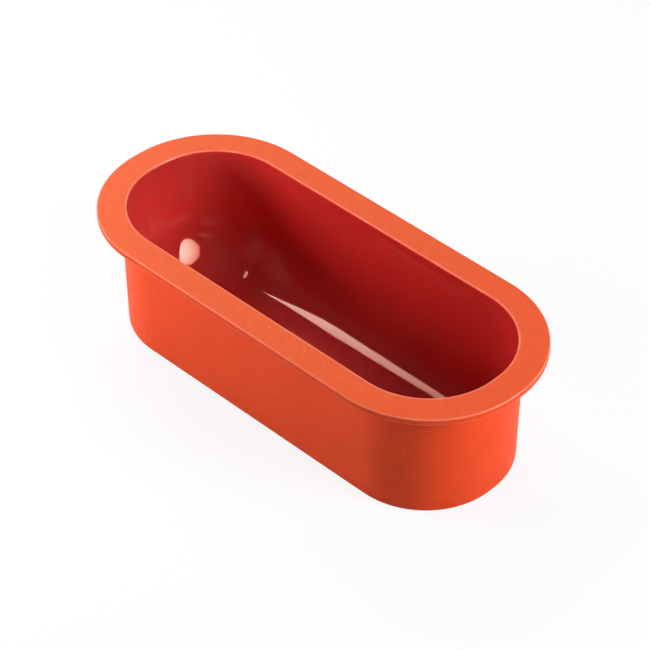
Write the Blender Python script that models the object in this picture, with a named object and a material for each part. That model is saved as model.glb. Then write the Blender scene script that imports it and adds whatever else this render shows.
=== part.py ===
"""Round-ended silicone loaf mould, modelled in metres with +Z up.

The mould is one moulding. It is divided at level planes into its flange, its side wall, its foot and
its trough, and each is a section carried round the same plan: a rectangle grown by an offset, so that
every outline has the same short flat at its ends and a corner arc that grows with the offset.
The origin is at the middle of the underside, on the surface that the mould stands on.
"""
import math

import bmesh
import bpy

# Overall sizes
FLANGE_LENGTH = 0.240
FLANGE_WIDTH = 0.106
HEIGHT = 0.066
END_FLAT = 0.0034

# Flange
FLANGE_THICKNESS = 0.0034
FLANGE_REACH = 0.0111
FLANGE_EDGE_RADIUS = 0.0007
LIP_RADIUS = 0.0007

# Wall, trough and foot
WALL_THICKNESS = 0.0030
WALL_DRAFT = math.radians(0.85)
FLOOR_THICKNESS = 0.0030
CAVITY_CORNER_RADIUS = 0.030
CORNER_LIMIT_SHARE = 0.98
GROOVE_GAP = 0.0030
FOOT_EDGE_RADIUS = 0.0020
FOOT_INNER_RADIUS = 0.0005

# Fineness of the round stretches
CORNER_STEPS = 12
EDGE_STEPS = 3
TROUGH_STEPS = 6
SMOOTH_LIMIT = math.radians(35)
MERGE_DISTANCE = 0.000005

# Finish: the orange outside is satin, and the deeper red cavity is glossy
SATIN_COLOUR = (0.83, 0.082, 0.022, 1.0)
SATIN_ROUGHNESS = 0.52
GLOSS_COLOUR = (0.58, 0.035, 0.035, 1.0)
GLOSS_ROUGHNESS = 0.05

# Plan: the core rectangle that every outline is offset from
CORE_HALF_WIDTH = END_FLAT / 2
CORE_HALF_LENGTH = FLANGE_LENGTH / 2 - FLANGE_WIDTH / 2 + CORE_HALF_WIDTH

# Section: heights and offsets from the lengthwise middle plane
UNDERSIDE_Z = HEIGHT - FLANGE_THICKNESS
DRAFT_SLOPE = math.tan(WALL_DRAFT)


def outer_wall(height):
    """Offset of the wall's outer face, which leans in towards the foot."""
    return FLANGE_WIDTH / 2 - FLANGE_REACH - (UNDERSIDE_Z - height) * DRAFT_SLOPE


def inner_wall(height):
    """Offset of the wall's inner face, parallel to the outer one."""
    return outer_wall(height) - WALL_THICKNESS


# The cavity's corner arc is tangent to the leaning wall and to the floor, and a narrow floor limits it
CORNER_LIMIT = (inner_wall(FLOOR_THICKNESS) - CORE_HALF_WIDTH) * CORNER_LIMIT_SHARE
CORNER_RADIUS = min(CAVITY_CORNER_RADIUS, CORNER_LIMIT)
CORNER_Z = FLOOR_THICKNESS + CORNER_RADIUS
CORNER_OFFSET = inner_wall(CORNER_Z) - CORNER_RADIUS / math.cos(WALL_DRAFT)

# The trough's outer face keeps the floor's thickness, and the groove under it stops where it gets narrow
TROUGH_RADIUS = CORNER_RADIUS + FLOOR_THICKNESS
GROOVE_ANGLE = math.acos((inner_wall(0) - GROOVE_GAP - CORNER_OFFSET) / TROUGH_RADIUS)
GROOVE_Z = CORNER_Z - TROUGH_RADIUS * math.sin(GROOVE_ANGLE)
CAVITY_ANGLE = math.asin((CORNER_Z - GROOVE_Z) / CORNER_RADIUS)


def arc(offset, height, radius, start, end, steps):
    """Points of an arc in the section, with angles from outwards (0) to upwards (a quarter turn)."""
    turns = [start + (end - start) * step / steps for step in range(steps + 1)]
    return [(offset + radius * math.cos(turn), height + radius * math.sin(turn)) for turn in turns]


def flange_section():
    """Flat ring from the lip of the cavity to the outer edge, with small rounded edges."""
    quarter = math.pi / 2
    edge = FLANGE_EDGE_RADIUS
    rim = FLANGE_WIDTH / 2 - edge
    mouth = inner_wall(HEIGHT) + LIP_RADIUS
    lip = arc(mouth, HEIGHT - LIP_RADIUS, LIP_RADIUS, 2 * quarter, quarter, EDGE_STEPS)
    top_edge = arc(rim, HEIGHT - edge, edge, quarter, 0, EDGE_STEPS)
    low_edge = arc(rim, UNDERSIDE_Z + edge, edge, 0, -quarter, EDGE_STEPS)
    return [(inner_wall(UNDERSIDE_Z), UNDERSIDE_Z)] + lip + top_edge + low_edge


def wall_section():
    """Leaning wall from the groove's roof to the flange, with the upper part of the cavity's corner."""
    corner = arc(CORNER_OFFSET, CORNER_Z, CORNER_RADIUS, -CAVITY_ANGLE, -WALL_DRAFT, TROUGH_STEPS)
    top = [(inner_wall(UNDERSIDE_Z), UNDERSIDE_Z), (outer_wall(UNDERSIDE_Z), UNDERSIDE_Z)]
    return corner + top + [(outer_wall(GROOVE_Z), GROOVE_Z)]


def foot_section():
    """Skirt that carries the wall down to the surface it stands on, rounded at its outer lower edge."""
    quarter = math.pi / 2
    outer = FOOT_EDGE_RADIUS
    inner = FOOT_INNER_RADIUS
    outer_edge = arc(outer_wall(outer) - outer, outer, outer, 0, -quarter, EDGE_STEPS)
    inner_edge = arc(inner_wall(inner) + inner, inner, inner, -quarter, -2 * quarter, EDGE_STEPS)
    return [(outer_wall(GROOVE_Z), GROOVE_Z)] + outer_edge + inner_edge + [(inner_wall(GROOVE_Z), GROOVE_Z)]


def trough_section():
    """Half of the trough below the groove's roof, from the middle of its floor round to its underside."""
    bottom = -math.pi / 2
    inside = arc(CORNER_OFFSET, CORNER_Z, CORNER_RADIUS, bottom, -CAVITY_ANGLE, TROUGH_STEPS)
    outside = arc(CORNER_OFFSET, CORNER_Z, TROUGH_RADIUS, -GROOVE_ANGLE, bottom, TROUGH_STEPS)
    return inside + outside


def run_out(mesh, edges, step):
    """Draws a row of edges out along a straight step."""
    drawn = bmesh.ops.extrude_edge_only(mesh, edges=edges)["geom"]
    ends = [item for item in drawn if isinstance(item, bmesh.types.BMVert)]
    bmesh.ops.translate(mesh, verts=ends, vec=step)


def carry_round(name, section, is_ring, material, collection):
    """Carries a section round one corner, on to both middle planes, and mirrors the quarter twice.

    A section that is no ring leaves a flat opening above and below, and both are filled.
    """
    mesh = bmesh.new()
    corner = CORE_HALF_LENGTH - CORE_HALF_WIDTH
    profile = [mesh.verts.new((corner + offset, CORE_HALF_WIDTH, height)) for offset, height in section]
    end_edges = [mesh.edges.new(pair) for pair in zip(profile, profile[1:])]
    if is_ring:
        end_edges.append(mesh.edges.new((profile[-1], profile[0])))
    turned = bmesh.ops.spin(
        mesh,
        geom=profile + end_edges,
        cent=(CORE_HALF_LENGTH, CORE_HALF_WIDTH, 0),
        axis=(0, 0, 1),
        angle=math.pi / 2,
        steps=CORNER_STEPS,
    )
    side_edges = [item for item in turned["geom_last"] if isinstance(item, bmesh.types.BMEdge)]
    run_out(mesh, side_edges, (-CORE_HALF_LENGTH, 0, 0))
    run_out(mesh, end_edges, (0, -CORE_HALF_WIDTH, 0))
    for axis in ("X", "Y"):
        quarter = mesh.verts[:] + mesh.edges[:] + mesh.faces[:]
        bmesh.ops.mirror(mesh, geom=quarter, axis=axis, merge_dist=MERGE_DISTANCE)
    bmesh.ops.holes_fill(mesh, edges=mesh.edges)
    bmesh.ops.recalc_face_normals(mesh, faces=mesh.faces)

    data = bpy.data.meshes.new(name)
    mesh.to_mesh(data)
    mesh.free()
    data.shade_smooth()
    data.set_sharp_from_angle(angle=SMOOTH_LIMIT)
    data.materials.append(material)
    piece = bpy.data.objects.new(name, data)
    collection.objects.link(piece)


def silicone(name, colour, roughness):
    """Opaque silicone rubber, satin where the tool was blasted and glossy where it was polished."""
    material = bpy.data.materials.new(name)
    material.use_nodes = True
    shader = material.node_tree.nodes["Principled BSDF"]
    shader.inputs["Base Color"].default_value = colour
    shader.inputs["Roughness"].default_value = roughness
    shader.inputs["Metallic"].default_value = 0.0
    return material


def build():
    """Clears the scene and makes the four members of the moulding."""
    for item in list(bpy.data.objects):
        bpy.data.objects.remove(item, do_unlink=True)
    collection = bpy.data.collections.new("soap_loaf_mould")
    bpy.context.scene.collection.children.link(collection)

    satin = (SATIN_COLOUR, SATIN_ROUGHNESS)
    gloss = (GLOSS_COLOUR, GLOSS_ROUGHNESS)
    members = (
        ("rim_flange", flange_section(), True, satin),
        ("side_wall", wall_section(), True, satin),
        ("foot_skirt", foot_section(), True, satin),
        ("cavity_trough", trough_section(), False, gloss),
    )
    for name, section, is_ring, finish in members:
        carry_round(name, section, is_ring, silicone(name + "_silicone", *finish), collection)


build()
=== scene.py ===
"""Looks of a round-ended silicone loaf mould, in metres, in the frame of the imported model.

The mould is one moulding, so one closed surface stands for all its members: a section carried round
the plan, satin on the flange and outside, and polished in the cavity.
"""
import math

import bpy
import numpy as np
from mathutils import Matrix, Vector


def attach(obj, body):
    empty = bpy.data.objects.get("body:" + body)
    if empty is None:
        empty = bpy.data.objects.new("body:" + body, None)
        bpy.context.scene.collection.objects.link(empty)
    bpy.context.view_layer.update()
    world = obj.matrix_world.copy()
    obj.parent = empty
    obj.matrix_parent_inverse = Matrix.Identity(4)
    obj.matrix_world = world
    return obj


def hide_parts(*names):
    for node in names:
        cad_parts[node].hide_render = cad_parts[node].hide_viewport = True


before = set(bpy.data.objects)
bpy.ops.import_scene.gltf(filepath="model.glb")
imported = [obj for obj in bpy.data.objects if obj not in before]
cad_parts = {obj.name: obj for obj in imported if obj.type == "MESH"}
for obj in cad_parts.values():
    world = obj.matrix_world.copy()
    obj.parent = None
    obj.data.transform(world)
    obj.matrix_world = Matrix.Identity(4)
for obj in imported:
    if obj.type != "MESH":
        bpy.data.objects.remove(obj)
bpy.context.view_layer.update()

QUARTER = math.pi / 2

# Sizes of the mould
HALF_LENGTH = 0.120
HALF_WIDTH = 0.053
HEIGHT = 0.066
CORE_Y = 0.0017
CORE_X = HALF_LENGTH - HALF_WIDTH + CORE_Y
FLANGE_THICKNESS = 0.0034
FLANGE_REACH = 0.0111
FLANGE_EDGE_RADIUS = 0.0007
LIP_RADIUS = 0.0007
LIP_LINE = 0.0007
NECK_RADIUS = 0.0009
WALL_THICKNESS = 0.0030
DRAFT = math.radians(0.85)
FLOOR_THICKNESS = 0.0030
CORNER_RADIUS = 0.030
GROOVE_GAP = 0.0030
GROOVE_ROUND = 0.0008
FOOT_RADIUS = 0.0020
HEEL_RADIUS = 0.0005
UNDERSIDE = HEIGHT - FLANGE_THICKNESS

# Fineness of the mould's surface
EDGE_ROWS = 9
CORNER_ROWS = 40
NECK_ROWS = 7
FOOT_ROWS = 10
HEEL_ROWS = 5
ROOF_ROWS = 5
TROUGH_ROWS = 24
PLAN_CORNER_POINTS = 36
PLAN_SIDE_POINTS = 40
WELD_STEPS_PER_METRE = 1e7
SHARP_ANGLE = math.radians(50)

# Where finishes and painted light begin and end: painted shade rises round the foot, and the painted sheen on
# the flange's upper face thins out from the left end
PAINTED_SHADE_RAMP = (-0.2, 2.2)
PAINTED_SHEEN_MIDDLE = 0.77
PAINTED_SHEEN_SLOPE = 0.23
POLISH_LIMIT = 0.45

# Colours and depths of the silicone
SILICONE_IOR = 1.42
SCATTER_SHARES = (1.0, 0.12, 0.08)
SATIN_DEEP = (0.815, 0.071, 0.0147)
SATIN_PALE = (0.88, 0.081, 0.0187)
# Painted sheen of the flange's upper face
SATIN_PAINTED_SHEEN = (0.90, 0.170, 0.068)
# Painted highlight along the rounded edges
SATIN_PAINTED_HIGHLIGHT = (1.0, 0.32, 0.21)
# Painted shade round the foot
SATIN_PAINTED_SHADE = (0.26, 0.028, 0.010)
SATIN_DUST = (0.95, 0.50, 0.36)
SATIN_GRIT = (0.30, 0.030, 0.012)
SATIN_STIPPLE = (0.60, 0.055, 0.014)
POLISHED_DEEP = (0.55, 0.024, 0.022)
POLISHED_PALE = (0.59, 0.028, 0.026)
POLISHED_DUST = (0.75, 0.30, 0.22)

# How strongly the painted foot shade, dust and specks show, how much smoother the painted edge highlights
# are, and how much dust dulls the polish
PAINTED_SHADE_STRENGTH = 0.8
SATIN_SPECK_STRENGTH = 0.6
POLISHED_SPECK_STRENGTH = 0.5
PAINTED_HIGHLIGHT_SMOOTHING = 0.15
DUST_DULLING = 0.5

# Camera: direction in degrees, distance from the mould's middle, lens in millimetres, and where it aims
CAMERA_AZIMUTH = 44.582
CAMERA_ELEVATION = 40.645
CAMERA_DISTANCE = 1.23428
CAMERA_LENS = 150.05
CAMERA_SENSOR = 36
CAMERA_NEAR = 0.05
AIM_RIGHT = 0.00361
AIM_DOWN = 0.00051

# Floor and surroundings
FLOOR_RINGS = (0.001, 0.4, 1.2)
FLOOR_RADIUS = 3.0
FLOOR_SWEEP_ROWS = 24
FLOOR_TURN_POINTS = 96
FLOOR_GREY = (0.55, 0.55, 0.55)
FLOOR_PALE = (0.95, 0.95, 0.95)
FLOOR_WHITE = 0.86
SURROUND_GREY = (0.10, 0.10, 0.10, 1)

# Lamps: azimuth, elevation, distance, width, height and radiance. All face one target
LAMP_TARGET = (0, 0, 0.03)
LAMPS = {
    "left_softbox": (-51.6, 21, 0.5, 0.30, 0.15, 15.4),
    "right_softbox": (104, 31, 1.0, 0.45, 0.45, 13.9),
    "back_softbox": (243, 48, 1.0, 0.70, 0.30, 7.3),
}

# Panels that are seen in reflections: places in metres, and radiance in red, green and blue
SECOND_REFLECTION = 0.4
OCTAGON_START = (-0.096, 0.012, 0.014)
OCTAGON_AZIMUTH = 101.64
OCTAGON_ELEVATION = 32.47
OCTAGON_DISTANCE = 1.1
OCTAGON_APOTHEM_SHARE = 0.3944
OCTAGON_TURN = math.radians(32.98)
OCTAGON_BRIGHT_SIDE = math.radians(-40)
OCTAGON_MIDDLE = (21.5, 20.0, 16.4)
OCTAGON_BRIGHT = (21.5, 17.6, 14.0)
OCTAGON_DIM = (18.5, 3.6, 2.5)
HIGH_PANEL_HEIGHT = 1.8
HIGH_PANEL_PLAN = (
    (-1.268, -0.322), (-1.259, -0.480), (-1.284, -0.900), (-1.262, -0.930),
    (-0.980, -0.895), (-0.980, -0.525), (-1.143, -0.372), (-1.238, -0.376),
)
HIGH_PANEL_LEFT = (18.2, 11.8, 9.8)
HIGH_PANEL_RIGHT = (8.7, 3.5, 2.7)


def between(first, second, share):
    """Even mix: the first times (1 - share), plus the second times the share."""
    return np.array(first) * (1 - share) + np.array(second) * share


def compass(azimuth, elevation):
    """Unit vector of a direction: azimuth in degrees from -Y towards +X, elevation in degrees."""
    azimuth, elevation = math.radians(azimuth), math.radians(elevation)
    level = math.cos(elevation)
    return np.array((math.sin(azimuth) * level, -math.cos(azimuth) * level, math.sin(elevation)))


def outer_wall(height):
    """Offset of the outer face: its offset under the flange, less the draft over the drop from there."""
    return HALF_WIDTH - FLANGE_REACH - (UNDERSIDE - height) * math.tan(DRAFT)


def inner_wall(height):
    """Offset of the inner face: the outer face less the wall's thickness."""
    return outer_wall(height) - WALL_THICKNESS


def arc(offset, height, radius, start, end, count):
    """Circle in the section: centre plus radius times (cosine, sine) of evenly spaced angles."""
    turn = np.linspace(start, end, count)
    return np.column_stack([offset + radius * np.cos(turn), height + radius * np.sin(turn)])


def straight(start, end, count):
    """Evenly spaced points strictly between two points of the section."""
    return between(start, end, np.linspace(0, 1, count + 2)[1:-1, None])


def mould_section():
    """Section from the middle of the floor, up the cavity, over the flange and under the foot.

    Returns rows of offset, height, polish (1 in the cavity, 0 outside), edge (1 on the crest of a rounded
    edge, where the satin gets a painted highlight), painted sheen (1 on the flange's upper face), painted
    foot shade (1 under the foot) and core share (0 on the plan's middle line, 1 where outlines grow). The
    polish ends half-way over the lip of the mouth, and the edge share rises over the lip and falls again
    along a short line of the flange beside it.
    """
    corner_z = FLOOR_THICKNESS + CORNER_RADIUS
    corner_offset = inner_wall(corner_z) - CORNER_RADIUS / math.cos(DRAFT)
    trough_radius = CORNER_RADIUS + FLOOR_THICKNESS
    groove_turn = math.acos((inner_wall(0) - GROOVE_GAP - corner_offset) / trough_radius)
    groove_z = corner_z - trough_radius * math.sin(groove_turn)
    mouth = inner_wall(HEIGHT) + LIP_RADIUS
    edge = FLANGE_EDGE_RADIUS
    rim = HALF_WIDTH - edge
    neck_z = UNDERSIDE - NECK_RADIUS
    roof_z = groove_z - GROOVE_ROUND

    corner = arc(corner_offset, corner_z, CORNER_RADIUS, -QUARTER, -DRAFT, CORNER_ROWS)
    lip = arc(mouth, HEIGHT - LIP_RADIUS, LIP_RADIUS, 2 * QUARTER, QUARTER, EDGE_ROWS)
    lip_end = lip[-1] + (LIP_LINE, 0)
    top_edge = arc(rim, HEIGHT - edge, edge, QUARTER, 0, EDGE_ROWS)
    low_edge = arc(rim, UNDERSIDE + edge, edge, 0, -QUARTER, EDGE_ROWS)
    neck = arc(outer_wall(neck_z) + NECK_RADIUS, neck_z, NECK_RADIUS, QUARTER, 2 * QUARTER, NECK_ROWS)
    foot = arc(outer_wall(FOOT_RADIUS) - FOOT_RADIUS, FOOT_RADIUS, FOOT_RADIUS, 0, -QUARTER, FOOT_ROWS)
    heel = arc(inner_wall(0) + HEEL_RADIUS, HEEL_RADIUS, HEEL_RADIUS, -QUARTER, -2 * QUARTER, HEEL_ROWS)
    roof = arc(inner_wall(roof_z) - GROOVE_ROUND, roof_z, GROOVE_ROUND, 0, QUARTER, ROOF_ROWS)
    trough = arc(corner_offset, corner_z, trough_radius, -groove_turn, -QUARTER, TROUGH_ROWS)

    floor_middle = (CORE_Y, FLOOR_THICKNESS)
    base_middle = (CORE_Y, 0.0)
    crest = np.sin(np.linspace(0, 2 * QUARTER, EDGE_ROWS))
    rise = np.linspace(0, 1, EDGE_ROWS)
    # Painted shade rises over the foot's rounding
    painted_foot_shade = np.clip(np.linspace(*PAINTED_SHADE_RAMP, FOOT_ROWS), 0, 1)
    # Each row: points, then their polish, edge (painted highlight), painted sheen, painted foot shade and
    # core share
    parts = [
        (np.array([floor_middle] * 3), 1, 0, 0, 0, (0, 0.5, 1)),
        (straight(floor_middle, corner[0], count=4), 1, 0, 0, 0, 1),
        (corner, 1, 0, 0, 0, 1),
        (straight(corner[-1], lip[0], count=16), 1, 0, 0, 0, 1),
        (lip, 1 - rise, rise, rise, 0, 1),
        (lip_end[None], 0, 0, 1, 0, 1),
        (straight(lip_end, top_edge[0], count=12), 0, 0, 1, 0, 1),
        (top_edge, 0, crest, 1 - rise, 0, 1),
        (straight(top_edge[-1], low_edge[0], count=3), 0, 0, 0, 0, 1),
        (low_edge, 0, crest, 0, 0, 1),
        (straight(low_edge[-1], neck[0], count=8), 0, 0, 0, 0, 1),
        (neck, 0, 0, 0, 0, 1),
        (straight(neck[-1], foot[0], count=20), 0, 0, 0, 0, 1),
        (foot, 0, 0, 0, painted_foot_shade, 1),
        (heel, 0, 0, 0, 1, 1),
        (straight(heel[-1], roof[0], count=5), 0, 0, 0, 0, 1),
        (roof, 0, 0, 0, 0, 1),
        (trough, 0, 0, 0, 0, 1),
        (straight(trough[-1], base_middle, count=4), 0, 0, 0, 0, 1),
        (np.array([base_middle] * 3), 0, 0, 0, 0, (1, 0.5, 0)),
    ]
    rows = [
        np.column_stack([points] + [np.broadcast_to(value, len(points)) for value in values])
        for points, *values in parts
    ]
    return np.concatenate(rows)


def mould_plan():
    """Core points and outward directions once round the plan, anticlockwise from above.

    Each outline is core + growth * direction. Corners keep one core point and turn the direction by a
    quarter, and the long sides keep the direction and move the core point along the length.
    """
    turn = np.linspace(0, QUARTER, PLAN_CORNER_POINTS)
    along = np.linspace(1, -1, PLAN_SIDE_POINTS + 2)[1:-1]
    cores, directions = [], []
    for quarter, (side_x, side_y) in enumerate(((1, 1), (-1, 1), (-1, -1), (1, -1))):
        angle = turn + quarter * QUARTER
        cores.append(np.tile((side_x * CORE_X, side_y * CORE_Y), (PLAN_CORNER_POINTS, 1)))
        directions.append(np.column_stack([np.cos(angle), np.sin(angle)]))
        if quarter in (0, 2):
            side = along * side_x * CORE_X
            cores.append(np.column_stack([side, np.full(PLAN_SIDE_POINTS, side_y * CORE_Y)]))
            directions.append(np.tile((0.0, float(side_y)), (PLAN_SIDE_POINTS, 1)))
    return np.concatenate(cores), np.concatenate(directions)


def ring_quads(points):
    """Corner numbers of the faces of a grid that closes round its second axis."""
    rows, columns = points.shape[:2]
    index = np.arange(rows * columns).reshape(rows, columns)
    after = np.roll(index, -1, axis=1)
    return np.stack([index[:-1], index[1:], after[1:], after[:-1]], axis=-1).reshape(-1, 4)


def add_piece(name, points, faces):
    """Smooth mesh of the points and faces, placed by its own points."""
    mesh = bpy.data.meshes.new(name)
    mesh.from_pydata(points, [], faces)
    mesh.shade_smooth()
    piece = bpy.data.objects.new(name, mesh)
    bpy.context.scene.collection.objects.link(piece)
    return piece


def loaf_mould():
    """The mould's whole surface: every section row carried round the plan by its own growth.

    Points that coincide along the middle lines are welded. Faces that lose a corner there become
    triangles, and faces that lose two are dropped. A face is polished when all its corners are.
    """
    cores, directions = mould_plan()
    offset, height, polish, edge, painted_sheen, painted_foot_shade, core_share = mould_section().T
    growth = (offset - CORE_Y)[:, None]
    x = cores[:, 0] + growth * directions[:, 0]
    y = cores[:, 1] * core_share[:, None] + growth * directions[:, 1]
    z = np.broadcast_to(height[:, None], x.shape)
    grid = np.stack([x, y, z], axis=-1)

    flat = grid.reshape(-1, 3)
    keys = np.round(flat * WELD_STEPS_PER_METRE).astype(np.int64)
    first, member = np.unique(keys, axis=0, return_index=True, return_inverse=True)[1:]
    points = flat[first]
    quads = member.reshape(-1)[ring_quads(grid)]
    kept = quads != np.roll(quads, -1, axis=1)
    full = quads[kept.sum(axis=1) == 4]
    partial = kept.sum(axis=1) == 3
    short = quads[partial][kept[partial]].reshape(-1, 3)

    piece = add_piece("loaf_mould", points, full.tolist() + short.tolist())
    mesh = piece.data
    mesh.set_sharp_from_angle(angle=SHARP_ANGLE)
    shares = np.repeat((polish, edge, painted_sheen, painted_foot_shade), x.shape[1], axis=1)[:, first]
    point_polish, point_edge, point_painted_sheen, point_painted_foot_shade = shares
    # Painted sheen: stronger towards the left end, fainter towards the right
    point_painted_sheen = point_painted_sheen * (PAINTED_SHEEN_MIDDLE - PAINTED_SHEEN_SLOPE * points[:, 0] / HALF_LENGTH)
    face_polish = np.concatenate([point_polish[full].min(axis=1), point_polish[short].min(axis=1)])
    mesh.polygons.foreach_set("material_index", (face_polish > POLISH_LIMIT).astype(np.int32))
    for name, values in (("edge", point_edge), ("painted_sheen", point_painted_sheen), ("painted_foot_shade", point_painted_foot_shade)):
        layer = mesh.attributes.new(name, "FLOAT", "POINT")
        layer.data.foreach_set("value", values.astype(np.float32))
    mesh.update()
    return piece


class Finish:
    """Short hand for building one material's nodes."""

    def __init__(self, name):
        self.material = bpy.data.materials.new(name)
        self.material.use_nodes = True
        self.nodes = self.material.node_tree.nodes
        self.shader = self.nodes["Principled BSDF"]
        self.place = self.node("ShaderNodeTexCoord").outputs["Object"]

    def node(self, kind, **settings):
        """New node of a kind, with its own settings."""
        made = self.nodes.new(kind)
        for name, value in settings.items():
            setattr(made, name, value)
        return made

    def join(self, source, target):
        """Link from an output to an input."""
        self.material.node_tree.links.new(source, target)

    def drive(self, **sources):
        """Links outputs to the shader's own sockets."""
        for name, source in sources.items():
            self.join(source, self.shader.inputs[name.replace("_", " ")])

    def set(self, **values):
        """Sets plain values on the shader's own sockets."""
        for name, value in values.items():
            self.shader.inputs[name.replace("_", " ")].default_value = value

    def noise(self, per_metre, detail, roughness=0.5):
        """Cloudy value near 0.5, with so many features to the metre."""
        made = self.node("ShaderNodeTexNoise")
        made.inputs["Scale"].default_value = per_metre
        made.inputs["Detail"].default_value = detail
        made.inputs["Roughness"].default_value = roughness
        self.join(self.place, made.inputs["Vector"])
        return made.outputs["Fac"]

    def remap(self, value, low, high, to_low=0.0, to_high=1.0):
        """Value carried evenly from one range to another, and held at the ends."""
        made = self.node("ShaderNodeMapRange")
        for name, number in zip(("From Min", "From Max", "To Min", "To Max"), (low, high, to_low, to_high)):
            made.inputs[name].default_value = number
        self.join(value, made.inputs["Value"])
        return made.outputs["Result"]

    def math(self, operation, first, second):
        """Sum, product or other operation on two values, each an output or a plain number."""
        made = self.node("ShaderNodeMath", operation=operation)
        for socket, value in zip(made.inputs, (first, second)):
            if isinstance(value, (int, float)):
                socket.default_value = value
            else:
                self.join(value, socket)
        return made.outputs[0]

    def times(self, first, second):
        """Product of two values."""
        return self.math("MULTIPLY", first, second)

    def blend(self, share, first, second):
        """Colour that goes from the first to the second as the share goes from 0 to 1."""
        made = self.node("ShaderNodeMix", data_type="RGBA")
        self.join(share, made.inputs["Factor"])
        for socket, value in ((made.inputs[6], first), (made.inputs[7], second)):
            if isinstance(value, tuple):
                socket.default_value = (*value, 1)
            else:
                self.join(value, socket)
        return made.outputs[2]

    def share(self, name):
        """Share that the mesh's own points carry under a name."""
        return self.node("ShaderNodeAttribute", attribute_name=name).outputs["Fac"]

    def specks(self, per_metre, radius, share):
        """Round spots of up to a radius in cells: 1 inside a spot, and only in that share of the cells."""
        cells = self.node("ShaderNodeTexVoronoi")
        cells.inputs["Scale"].default_value = per_metre
        self.join(self.place, cells.inputs["Vector"])
        pick = self.node("ShaderNodeSeparateColor")
        self.join(cells.outputs["Color"], pick.inputs["Color"])
        chosen = self.math("LESS_THAN", pick.outputs["Red"], share)
        size = self.remap(pick.outputs["Green"], low=0, high=1, to_low=0.5 * radius, to_high=radius)
        return self.times(self.math("LESS_THAN", cells.outputs["Distance"], size), chosen)

    def bump(self, height, depth, strength, below=None):
        """Normal of a relief of a depth in metres, on top of another relief if there is one."""
        made = self.node("ShaderNodeBump")
        made.inputs["Distance"].default_value = depth
        made.inputs["Strength"].default_value = strength
        self.join(height, made.inputs["Height"])
        if below is not None:
            self.join(below, made.inputs["Normal"])
        return made.outputs["Normal"]

    def show(self, shader):
        """Puts a shader of its own on the surface, where the first shader was cleared away."""
        self.join(shader.outputs[0], self.node("ShaderNodeOutputMaterial").inputs["Surface"])


def satin_silicone():
    """Orange satin silicone: a fine blasted grain and stipple, faint mottling and dust.

    The upper face of the flange has a painted sheen, the edges have a painted highlight and are smoother, and
    the foot has painted shade.
    """
    finish = Finish("satin_silicone")
    finish.set(IOR=SILICONE_IOR, Specular_IOR_Level=0.14)
    finish.set(Subsurface_Weight=0.2, Subsurface_Radius=SCATTER_SHARES, Subsurface_Scale=0.004)
    mottle = finish.remap(finish.noise(per_metre=60, detail=7, roughness=0.68), low=0.3, high=0.7)
    body = finish.blend(mottle, SATIN_DEEP, SATIN_PALE)
    cloud = finish.noise(per_metre=240, detail=5, roughness=0.65)
    patchy = finish.remap(cloud, low=0.3, high=0.7, to_low=0.82, to_high=1.06)
    # Painted sheen on the flange's upper face, patchy, and fainter towards the right
    body = finish.blend(finish.times(finish.share("painted_sheen"), patchy), body, SATIN_PAINTED_SHEEN)
    # Painted highlight along the rounded edges, uneven along them, and smoother there
    uneven = finish.remap(finish.noise(per_metre=160, detail=3), low=0.35, high=0.65, to_low=0.6)
    painted_edge_highlight = finish.times(finish.share("edge"), uneven)
    body = finish.blend(painted_edge_highlight, body, SATIN_PAINTED_HIGHLIGHT)
    # Painted shade that darkens the foot
    body = finish.blend(finish.times(finish.share("painted_foot_shade"), PAINTED_SHADE_STRENGTH), body, SATIN_PAINTED_SHADE)
    dust = finish.specks(per_metre=230, radius=0.085, share=0.3)
    body = finish.blend(finish.times(dust, SATIN_SPECK_STRENGTH), body, SATIN_DUST)
    grit = finish.specks(per_metre=170, radius=0.05, share=0.2)
    body = finish.blend(finish.times(grit, SATIN_SPECK_STRENGTH), body, SATIN_GRIT)
    stipple = finish.noise(per_metre=900, detail=3, roughness=0.6)
    body = finish.blend(finish.remap(stipple, low=0.35, high=0.65, to_high=0.14), body, SATIN_STIPPLE)
    frosting = finish.noise(per_metre=700, detail=2)
    blasted = finish.remap(frosting, low=0.3, high=0.7, to_low=0.46, to_high=0.58)
    rough = finish.math("SUBTRACT", blasted, finish.times(painted_edge_highlight, PAINTED_HIGHLIGHT_SMOOTHING))
    grain = finish.bump(finish.noise(per_metre=3600, detail=2), depth=0.00006, strength=0.5)
    relief = finish.bump(finish.noise(per_metre=420, detail=2), depth=0.0001, strength=0.12, below=grain)
    finish.drive(Base_Color=body, Roughness=rough, Normal=relief)
    return finish.material


def polished_silicone():
    """Deep red polished silicone of the cavity: mirror-smooth, with a thin haze, smears and a little dust."""
    finish = Finish("polished_silicone")
    finish.set(IOR=SILICONE_IOR, Specular_IOR_Level=0.5)
    finish.set(Subsurface_Weight=1.0, Subsurface_Radius=SCATTER_SHARES, Subsurface_Scale=0.006)
    finish.set(Coat_Weight=0.4, Coat_Roughness=1.0, Coat_IOR=SILICONE_IOR)
    mottle = finish.remap(finish.noise(per_metre=38, detail=4, roughness=0.6), low=0.3, high=0.7)
    body = finish.blend(mottle, POLISHED_DEEP, POLISHED_PALE)
    specks = finish.specks(per_metre=120, radius=0.045, share=0.2)
    dust = finish.times(specks, POLISHED_SPECK_STRENGTH)
    body = finish.blend(dust, body, POLISHED_DUST)
    cloud = finish.noise(per_metre=26, detail=5, roughness=0.6)
    smear = finish.remap(cloud, low=0.45, high=0.75, to_low=0.006, to_high=0.022)
    rough = finish.math("ADD", smear, finish.times(dust, DUST_DULLING))
    relief = finish.bump(finish.noise(per_metre=120, detail=1), depth=0.0002, strength=0.007)
    finish.drive(Base_Color=body, Roughness=rough, Normal=relief)
    return finish.material


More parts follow.
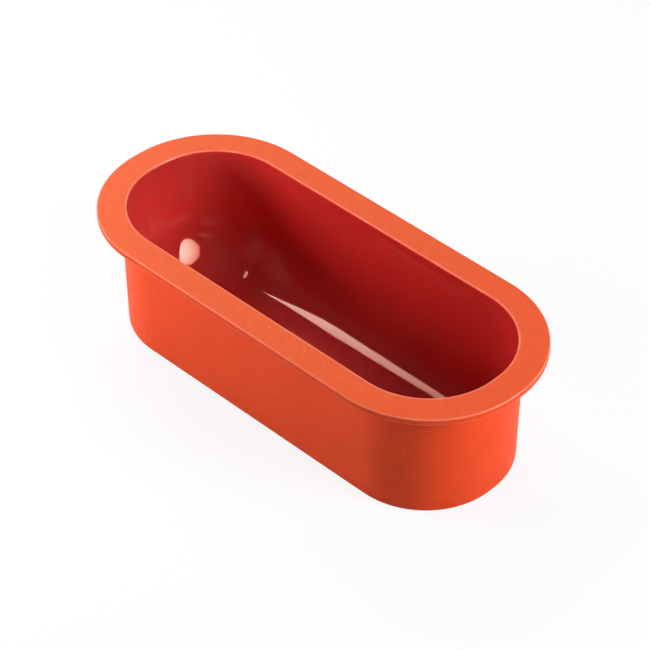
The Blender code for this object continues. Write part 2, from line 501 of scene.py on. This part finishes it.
def face(holder, target):
    """Turns a camera or lamp so that its view or light goes towards a target."""
    holder.rotation_euler = (Vector(target) - holder.location).to_track_quat("-Z", "Y").to_euler()


def set_camera():
    """Camera at the photograph's angle: a long lens, aimed a little right of the mould's middle."""
    middle = Vector((0, 0, HEIGHT / 2))
    towards = Vector(compass(CAMERA_AZIMUTH, CAMERA_ELEVATION))
    right = Vector(compass(CAMERA_AZIMUTH + 90, 0))
    up = towards.cross(right)
    camera = bpy.data.cameras.new("camera")
    camera.sensor_width = CAMERA_SENSOR
    camera.lens = CAMERA_LENS
    camera.clip_start = CAMERA_NEAR
    holder = bpy.data.objects.new("camera", camera)
    bpy.context.scene.collection.objects.link(holder)
    holder.location = middle + towards * CAMERA_DISTANCE
    face(holder, middle + right * AIM_RIGHT - up * AIM_DOWN)
    bpy.context.scene.camera = holder


def studio_floor():
    """Round floor that sweeps up at its rim: radius and height along a quarter circle, turned about +Z."""
    sweep = np.linspace(0, QUARTER, FLOOR_SWEEP_ROWS)
    radius = np.concatenate([FLOOR_RINGS, FLOOR_RADIUS + np.sin(sweep)])
    height = np.concatenate([np.zeros(len(FLOOR_RINGS)), 1 - np.cos(sweep)])
    turn = np.linspace(0, 4 * QUARTER, FLOOR_TURN_POINTS, endpoint=False)
    x = radius[:, None] * np.cos(turn)
    y = radius[:, None] * np.sin(turn)
    z = np.broadcast_to(height[:, None], x.shape)
    points = np.stack([x, y, z], axis=-1)
    faces = ring_quads(points)[:, ::-1].tolist() + [tuple(range(FLOOR_TURN_POINTS))]
    return add_piece("floor", points.reshape(-1, 3), faces)


def pale_floor():
    """Matte grey for the light that it sends back, and almost plain white for the camera and reflections."""
    finish = Finish("pale_floor")
    finish.nodes.clear()
    matte = finish.node("ShaderNodeBsdfDiffuse")
    white = finish.node("ShaderNodeEmission")
    path = finish.node("ShaderNodeLightPath").outputs
    mirrored = finish.math("MAXIMUM", path["Is Glossy Ray"], path["Is Transmission Ray"])
    seen = finish.math("MAXIMUM", path["Is Camera Ray"], mirrored)
    finish.join(finish.blend(seen, FLOOR_GREY, FLOOR_PALE), matte.inputs["Color"])
    mix = finish.node("ShaderNodeMixShader")
    finish.join(finish.times(seen, FLOOR_WHITE), mix.inputs["Fac"])
    finish.join(matte.outputs[0], mix.inputs[1])
    finish.join(white.outputs[0], mix.inputs[2])
    finish.show(mix)
    return finish.material


def reflector(name, points, faces, radiance):
    """Glowing panel that is only seen in reflections, and dimmer in second ones.

    Each of its points has its own red, green and blue radiance.
    """
    panel = add_piece(name, points, faces)
    layer = panel.data.attributes.new("radiance", "FLOAT_COLOR", "POINT")
    layer.data.foreach_set("color", np.insert(radiance, 3, 1, axis=1).astype(np.float32).ravel())
    finish = Finish(name + "_light")
    finish.nodes.clear()
    glow = finish.node("ShaderNodeEmission")
    colour = finish.node("ShaderNodeAttribute", attribute_name="radiance").outputs["Color"]
    finish.join(colour, glow.inputs["Color"])
    path = finish.node("ShaderNodeLightPath").outputs
    mirrored = finish.math("LESS_THAN", path["Diffuse Depth"], 0.5)
    fading = finish.remap(path["Glossy Depth"], low=1, high=2, to_low=1.0, to_high=SECOND_REFLECTION)
    finish.join(finish.times(fading, mirrored), glow.inputs["Strength"])
    finish.show(glow)
    panel.data.materials.append(finish.material)
    panel.visible_camera = panel.visible_diffuse = False


def octagon_softbox():
    """Eight-sided panel: a middle point and eight corners in the plane square to its own direction.

    The corners' radiance goes from bright to dim with the cosine of the turn from the bright side.
    """
    towards = compass(OCTAGON_AZIMUTH, OCTAGON_ELEVATION)
    side = np.cross((0, 0, 1), towards)
    side /= np.linalg.norm(side)
    rise = np.cross(towards, side)
    index = np.arange(8)
    turn = OCTAGON_TURN + index[:, None] * QUARTER / 2
    reach = OCTAGON_DISTANCE * OCTAGON_APOTHEM_SHARE / math.cos(QUARTER / 4)
    middle = np.array(OCTAGON_START) + towards * OCTAGON_DISTANCE
    corners = middle + reach * (np.cos(turn) * side + np.sin(turn) * rise)
    faces = np.column_stack([np.zeros_like(index), 1 + np.roll(index, -1), 1 + index])
    share = (1 - np.cos(turn - OCTAGON_BRIGHT_SIDE)) / 2
    radiance = np.vstack([OCTAGON_MIDDLE, between(OCTAGON_BRIGHT, OCTAGON_DIM, share)])
    reflector("octagon_softbox", np.vstack([middle, corners]), faces.tolist(), radiance)


def high_softbox():
    """Level eight-sided panel high above the left end, facing down.

    The radiance goes evenly from the left value to the right one as x goes from side to side.
    """
    x, y = np.array(HIGH_PANEL_PLAN).T
    corners = np.column_stack([x, y, np.full(len(x), HIGH_PANEL_HEIGHT)])
    share = (x - x.min()) / np.ptp(x)
    radiance = between(HIGH_PANEL_LEFT, HIGH_PANEL_RIGHT, share[:, None])
    reflector("high_softbox", corners, [tuple(range(len(x)))[::-1]], radiance)


def softbox(name, azimuth, elevation, distance, width, height, radiance):
    """Rectangular lamp that faces the lamps' target. Its power is radiance * pi * area."""
    light = bpy.data.lights.new(name, "AREA")
    light.shape = "RECTANGLE"
    light.size, light.size_y = width, height
    light.energy = radiance * math.pi * width * height
    holder = bpy.data.objects.new(name, light)
    holder.location = compass(azimuth, elevation) * distance
    face(holder, LAMP_TARGET)
    holder.visible_camera = holder.visible_glossy = False
    bpy.context.scene.collection.objects.link(holder)


def grey_surround():
    """Even grey all round, which adds to reflections and not to the light on matte surfaces."""
    world = bpy.data.worlds.new("studio")
    bpy.context.scene.world = world
    world.use_nodes = True
    world.node_tree.nodes["Background"].inputs["Color"].default_value = SURROUND_GREY
    world.cycles_visibility.diffuse = False


mould = loaf_mould()
mould.data.materials.append(satin_silicone())
mould.data.materials.append(polished_silicone())
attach(mould, "root")
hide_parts("rim_flange", "side_wall", "foot_skirt", "cavity_trough")

floor = studio_floor()
floor.data.materials.append(pale_floor())

octagon_softbox()
high_softbox()
for lamp, placing in LAMPS.items():
    softbox(lamp, *placing)
grey_surround()
set_camera()

bpy.context.scene.view_settings.view_transform = "Standard"
